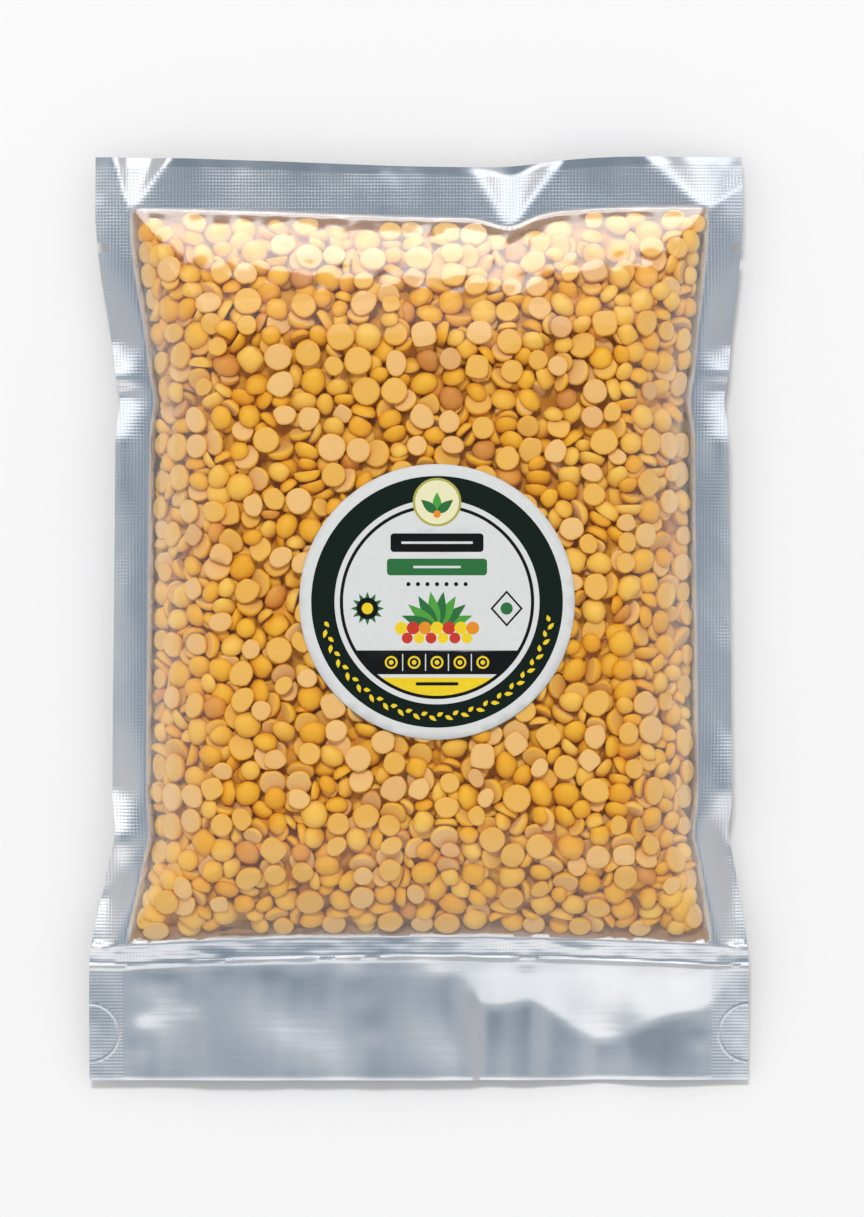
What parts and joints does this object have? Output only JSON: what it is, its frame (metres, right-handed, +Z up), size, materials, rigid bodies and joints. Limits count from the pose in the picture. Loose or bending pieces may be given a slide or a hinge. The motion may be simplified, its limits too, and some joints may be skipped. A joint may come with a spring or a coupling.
{
  "type": "sealed pouch of yellow split peas",
  "caption": "Flat heat-sealed pouch with a silver foil back and a clear front, filled with yellow split peas, lying on its back, with a round paper label.",
  "frame": {"origin": "on the table under the middle of the pouch", "axes": "+Z up, out of the clear front; +Y along the length, from the open tail to the end with the tear notches; +X to the right seen from above"},
  "size_m": [0.1402, 0.1964, 0.0226],
  "materials": {
    "foil_laminate": "metallised laminate, semi-gloss, with a fine heat-seal emboss",
    "split_peas": "dry split pulses, satin, under clear film",
    "label_paper": "coated label paper, satin"
  },
  "bodies": {
    "root": {"foil_pouch": "foil_laminate", "split_peas": "split_peas", "label": "label_paper"}
  },
  "joints": []
}
